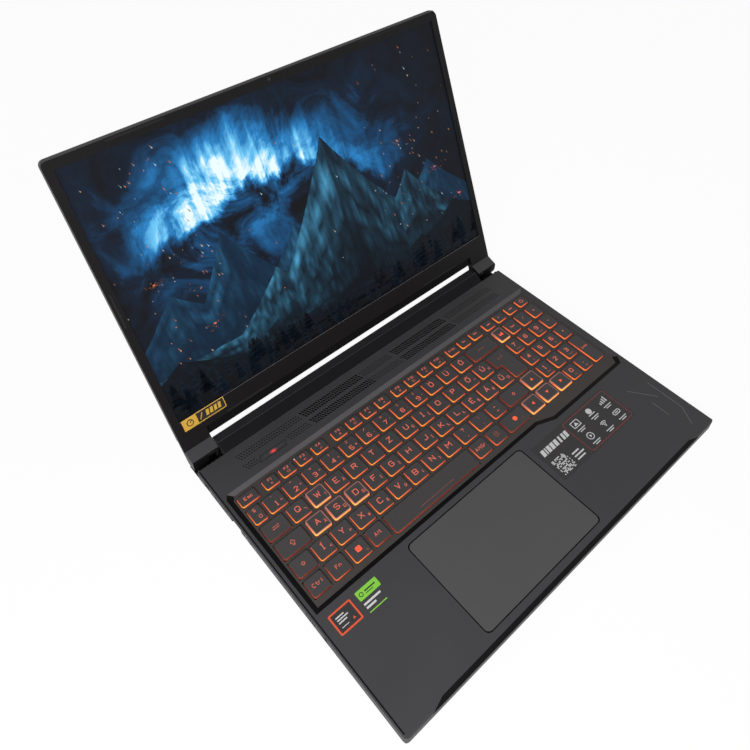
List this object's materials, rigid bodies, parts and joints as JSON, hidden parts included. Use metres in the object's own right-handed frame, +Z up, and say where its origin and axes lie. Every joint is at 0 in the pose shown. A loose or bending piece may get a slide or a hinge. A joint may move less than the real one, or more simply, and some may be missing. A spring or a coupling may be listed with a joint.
{
  "type": "laptop computer",
  "caption": "Open gaming notebook with a wide display on two ear hinges, a full keyboard with number pad, a click touchpad, side ports and a cooling system.",
  "frame": {"origin": "on the desk under the middle of the open notebook's bounding box", "axes": "+X to the user's right, +Y from the front edge towards the rear, +Z up; the lid is open at 112 degrees"},
  "size_m": [0.3602, 0.369, 0.2608],
  "materials": {
    "case_plastic": "fine textured charcoal",
    "bezel_plastic": "fine matte black",
    "key_plastic": "matte dark grey",
    "clear_keycap": "clear side walls, dark top",
    "steel": "plain",
    "circuit_board": "solder mask",
    "copper": "bare copper",
    "black_plastic": "moulded",
    "touchpad_glass": "satin",
    "rubber": "matte",
    "status_red": "lit lens",
    "display_glass": "glossy lit screen"
  },
  "bodies": {
    "base": {"bottom_cover": "case_plastic", "palmrest_cover": "case_plastic", "keyboard_frame": "case_plastic", "keyboard_plate": "steel", "mainboard": "circuit_board", "cold_plates": "copper", "heat_pipes": "copper", "fin_stacks": "copper", "fan_housing_left": "black_plastic", "fan_housing_right": "black_plastic", "battery_pack": "black_plastic", "ssd_card": "circuit_board", "memory_modules": "circuit_board", "wifi_card": "circuit_board", "speaker_left": "black_plastic", "speaker_right": "black_plastic", "touchpad_bracket": "steel", "hinge_bracket_left": "steel", "hinge_bracket_right": "steel", "front_feet": "rubber", "rear_foot": "rubber", "bottom_screws": "steel", "usb_a_ports": "steel", "usb_c_ports": "steel", "hdmi_port": "steel", "lan_port": "black_plastic", "audio_jack": "black_plastic", "dc_jack": "black_plastic", "status_light": "status_red"},
    "lid": {"lid_cover": "case_plastic", "bezel": "bezel_plastic", "display_panel": "display_glass", "hinge_cover_left": "case_plastic", "hinge_cover_right": "case_plastic", "hinge_arm_left": "steel", "hinge_arm_right": "steel", "camera_module": "black_plastic", "bezel_bumpers": "rubber"},
    "touchpad": {"touchpad": "touchpad_glass", "touchpad_board": "circuit_board"},
    "fan_left": {"fan_rotor_left": "black_plastic"},
    "fan_right": {"fan_rotor_right": "black_plastic"},
    "function_row": {"function_row_keys": "key_plastic"},
    "number_row": {"number_row_keys": "key_plastic"},
    "upper_row": {"upper_row_keys": "key_plastic"},
    "home_row": {"home_row_keys": "key_plastic"},
    "lower_row": {"lower_row_keys": "key_plastic"},
    "bottom_row": {"bottom_row_keys": "key_plastic"},
    "number_pad": {"numpad_keys": "key_plastic"},
    "enter": {"enter_key": "key_plastic"},
    "space": {"space_key": "key_plastic"},
    "power": {"power_button": "key_plastic"},
    "key_w": {"key_w_cap": "clear_keycap"},
    "key_a": {"key_a_cap": "clear_keycap"},
    "key_s": {"key_s_cap": "clear_keycap"},
    "key_d": {"key_d_cap": "clear_keycap"},
    "arrow_up": {"arrow_up_key": "clear_keycap"},
    "arrow_left": {"arrow_left_key": "clear_keycap"},
    "arrow_down": {"arrow_down_key": "clear_keycap"},
    "arrow_right": {"arrow_right_key": "clear_keycap"}
  },
  "joints": [
    {"name": "lid_hinge", "type": "hinge", "parent": "base", "child": "lid", "pos_m": [0, 0.0784, 0.0177], "axis": [-1, 0, 0], "range_deg": [-112.07, 13]},
    {"name": "touchpad_click", "type": "hinge", "parent": "base", "child": "touchpad", "pos_m": [-0.0319, -0.0917, 0.01755], "axis": [1, 0, 0], "range_deg": [0, 0.35], "stiffness_Nm_per_rad": 3, "springref_deg": -0.69},
    {"name": "fan_left_spin", "type": "hinge", "parent": "base", "child": "fan_left", "pos_m": [-0.126, 0.0215, 0.008], "axis": [0, 0, 1], "continuous": true},
    {"name": "fan_right_spin", "type": "hinge", "parent": "base", "child": "fan_right", "pos_m": [0.126, 0.0215, 0.008], "axis": [0, 0, 1], "continuous": true},
    {"name": "function_row_press", "type": "slide", "parent": "base", "child": "function_row", "axis": [0, 0, -1], "range_m": [0, 0.0015], "stiffness_N_per_m": 400, "springref_m": -0.001},
    {"name": "number_row_press", "type": "slide", "parent": "base", "child": "number_row", "axis": [0, 0, -1], "range_m": [0, 0.0015], "stiffness_N_per_m": 400, "springref_m": -0.001},
    {"name": "upper_row_press", "type": "slide", "parent": "base", "child": "upper_row", "axis": [0, 0, -1], "range_m": [0, 0.0015], "stiffness_N_per_m": 400, "springref_m": -0.001},
    {"name": "home_row_press", "type": "slide", "parent": "base", "child": "home_row", "axis": [0, 0, -1], "range_m": [0, 0.0015], "stiffness_N_per_m": 400, "springref_m": -0.001},
    {"name": "lower_row_press", "type": "slide", "parent": "base", "child": "lower_row", "axis": [0, 0, -1], "range_m": [0, 0.0015], "stiffness_N_per_m": 400, "springref_m": -0.001},
    {"name": "bottom_row_press", "type": "slide", "parent": "base", "child": "bottom_row", "axis": [0, 0, -1], "range_m": [0, 0.0015], "stiffness_N_per_m": 400, "springref_m": -0.001},
    {"name": "number_pad_press", "type": "slide", "parent": "base", "child": "number_pad", "axis": [0, 0, -1], "range_m": [0, 0.0015], "stiffness_N_per_m": 400, "springref_m": -0.001},
    {"name": "enter_press", "type": "slide", "parent": "base", "child": "enter", "axis": [0, 0, -1], "range_m": [0, 0.0015], "stiffness_N_per_m": 400, "springref_m": -0.001},
    {"name": "space_press", "type": "slide", "parent": "base", "child": "space", "axis": [0, 0, -1], "range_m": [0, 0.0015], "stiffness_N_per_m": 400, "springref_m": -0.001},
    {"name": "power_press", "type": "slide", "parent": "base", "child": "power", "axis": [0, 0, -1], "range_m": [0, 0.0015], "stiffness_N_per_m": 400, "springref_m": -0.001},
    {"name": "key_w_press", "type": "slide", "parent": "base", "child": "key_w", "axis": [0, 0, -1], "range_m": [0, 0.0015], "stiffness_N_per_m": 400, "springref_m": -0.001},
    {"name": "key_a_press", "type": "slide", "parent": "base", "child": "key_a", "axis": [0, 0, -1], "range_m": [0, 0.0015], "stiffness_N_per_m": 400, "springref_m": -0.001},
    {"name": "key_s_press", "type": "slide", "parent": "base", "child": "key_s", "axis": [0, 0, -1], "range_m": [0, 0.0015], "stiffness_N_per_m": 400, "springref_m": -0.001},
    {"name": "key_d_press", "type": "slide", "parent": "base", "child": "key_d", "axis": [0, 0, -1], "range_m": [0, 0.0015], "stiffness_N_per_m": 400, "springref_m": -0.001},
    {"name": "arrow_up_press", "type": "slide", "parent": "base", "child": "arrow_up", "axis": [0, 0, -1], "range_m": [0, 0.0015], "stiffness_N_per_m": 400, "springref_m": -0.001},
    {"name": "arrow_left_press", "type": "slide", "parent": "base", "child": "arrow_left", "axis": [0, 0, -1], "range_m": [0, 0.0015], "stiffness_N_per_m": 400, "springref_m": -0.001},
    {"name": "arrow_down_press", "type": "slide", "parent": "base", "child": "arrow_down", "axis": [0, 0, -1], "range_m": [0, 0.0015], "stiffness_N_per_m": 400, "springref_m": -0.001},
    {"name": "arrow_right_press", "type": "slide", "parent": "base", "child": "arrow_right", "axis": [0, 0, -1], "range_m": [0, 0.0015], "stiffness_N_per_m": 400, "springref_m": -0.001}
  ]
}
